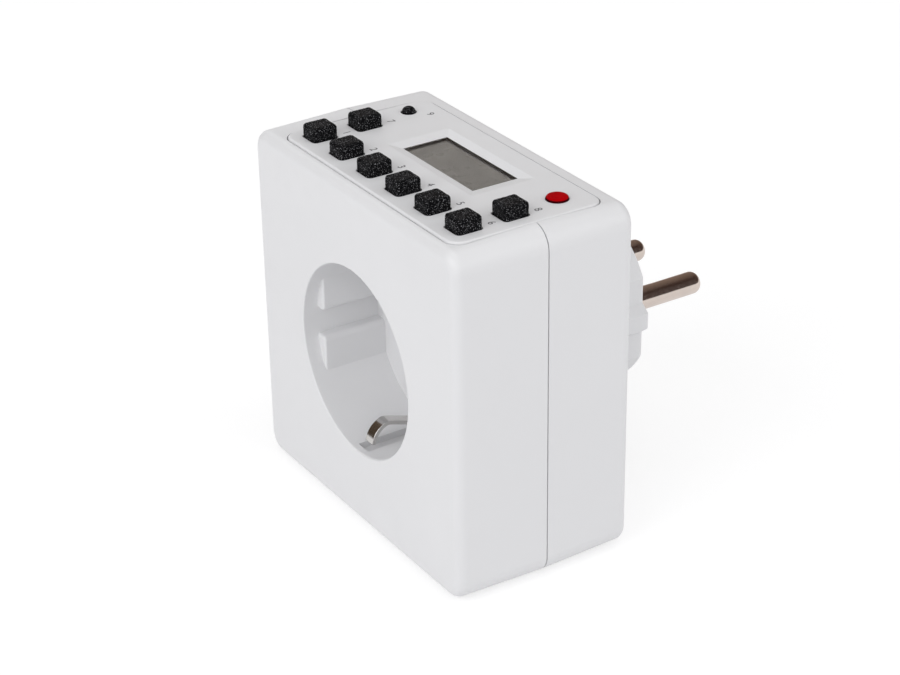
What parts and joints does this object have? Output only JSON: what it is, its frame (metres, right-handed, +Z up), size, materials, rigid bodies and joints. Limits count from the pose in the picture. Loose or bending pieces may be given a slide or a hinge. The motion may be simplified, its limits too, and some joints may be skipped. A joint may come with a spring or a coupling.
{
  "type": "plug-in timer",
  "caption": "Plug-in digital timer: square housing with a recessed earthed socket in front, a round pin plug behind, and a panel of push keys with a display on top.",
  "frame": {"origin": "on the common axis of socket and plug, in the plug's end face, midway between the pins", "axes": "+X to the right seen from the socket, +Y along the pins away from the housing, +Z up to the keys"},
  "size_m": [0.075, 0.0777, 0.0774],
  "materials": {
    "white_housing": "smooth moulded, satin gloss",
    "white_panel": "smooth moulded, satin gloss",
    "black_keys": "spark-eroded texture",
    "plunger_plastic": "moulded",
    "switch_case": "moulded",
    "red_lamp": "diffused red resin",
    "clear_lens": "clear moulded",
    "display_face": "blank liquid crystal glass",
    "inner_plastic": "moulded",
    "elastic_strip": "striped silicone",
    "circuit_board": "solder resist",
    "steel": "zinc plated",
    "black_case": "moulded epoxy",
    "relay_case": "moulded",
    "film_case": "moulded box",
    "can_sleeve": "shrunk sleeve",
    "varistor_coat": "dipped coat",
    "resistor_coat": "lacquer",
    "cable_jacket": "flat cable",
    "contact_brass": "stamped",
    "nickel": "bright nickel plate"
  },
  "bodies": {
    "root": {"front_shell": "white_housing", "rear_shell": "white_housing", "plug_body": "white_housing", "control_panel": "white_panel", "key_switches": "switch_case", "power_lamp": "red_lamp", "display_lens": "clear_lens", "display_glass": "display_face", "display_frame": "inner_plastic", "display_connector": "elastic_strip", "display_board": "circuit_board", "power_board": "circuit_board", "display_board_screws": "steel", "power_board_screws": "steel", "housing_screws": "steel", "controller_chip": "black_case", "quartz_crystal": "steel", "backup_battery": "steel", "relay": "relay_case", "film_capacitor": "film_case", "electrolytic_capacitors": "can_sleeve", "varistor": "varistor_coat", "rectifier_diodes": "black_case", "dropper_resistor": "resistor_coat", "thermal_fuse": "steel", "board_cable": "cable_jacket", "cable_headers": "inner_plastic", "contact_carrier": "inner_plastic", "shutter_spring": "steel", "line_contact": "contact_brass", "neutral_contact": "contact_brass", "earth_strap": "nickel", "upper_earth_contact": "nickel", "lower_earth_contact": "nickel", "line_pin": "nickel", "neutral_pin": "nickel", "line_busbar": "contact_brass", "neutral_busbar": "contact_brass"},
    "shutter": {"shutter": "inner_plastic"},
    "clock_key": {"clock_button": "black_keys", "clock_plunger": "plunger_plastic"},
    "timer_key": {"timer_button": "black_keys", "timer_plunger": "plunger_plastic"},
    "week_key": {"week_button": "black_keys", "week_plunger": "plunger_plastic"},
    "hour_key": {"hour_button": "black_keys", "hour_plunger": "plunger_plastic"},
    "minute_key": {"minute_button": "black_keys", "minute_plunger": "plunger_plastic"},
    "recall_key": {"recall_button": "black_keys", "recall_plunger": "plunger_plastic"},
    "manual_key": {"manual_button": "black_keys", "manual_plunger": "plunger_plastic"},
    "random_key": {"random_button": "black_keys", "random_plunger": "plunger_plastic"},
    "reset_key": {"reset_button": "black_keys", "reset_plunger": "plunger_plastic"}
  },
  "joints": [
    {"name": "clock_press", "type": "slide", "parent": "root", "child": "clock_key", "axis": [0, 0, -1], "range_m": [0, 0.0005], "stiffness_N_per_m": 600},
    {"name": "timer_press", "type": "slide", "parent": "root", "child": "timer_key", "axis": [0, 0, -1], "range_m": [0, 0.0005], "stiffness_N_per_m": 600},
    {"name": "week_press", "type": "slide", "parent": "root", "child": "week_key", "axis": [0, 0, -1], "range_m": [0, 0.0005], "stiffness_N_per_m": 600},
    {"name": "hour_press", "type": "slide", "parent": "root", "child": "hour_key", "axis": [0, 0, -1], "range_m": [0, 0.0005], "stiffness_N_per_m": 600},
    {"name": "minute_press", "type": "slide", "parent": "root", "child": "minute_key", "axis": [0, 0, -1], "range_m": [0, 0.0005], "stiffness_N_per_m": 600},
    {"name": "recall_press", "type": "slide", "parent": "root", "child": "recall_key", "axis": [0, 0, -1], "range_m": [0, 0.0005], "stiffness_N_per_m": 600},
    {"name": "manual_press", "type": "slide", "parent": "root", "child": "manual_key", "axis": [0, 0, -1], "range_m": [0, 0.0005], "stiffness_N_per_m": 600},
    {"name": "random_press", "type": "slide", "parent": "root", "child": "random_key", "axis": [0, 0, -1], "range_m": [0, 0.0005], "stiffness_N_per_m": 600},
    {"name": "reset_press", "type": "slide", "parent": "root", "child": "reset_key", "axis": [0, 0, -1], "range_m": [0, 0.0005], "stiffness_N_per_m": 600},
    {"name": "shutter_turn", "type": "hinge", "parent": "root", "child": "shutter", "pos_m": [0, -0.0383, 0], "axis": [0, 1, 0], "range_deg": [0, 36], "stiffness_Nm_per_rad": 0.004}
  ]
}
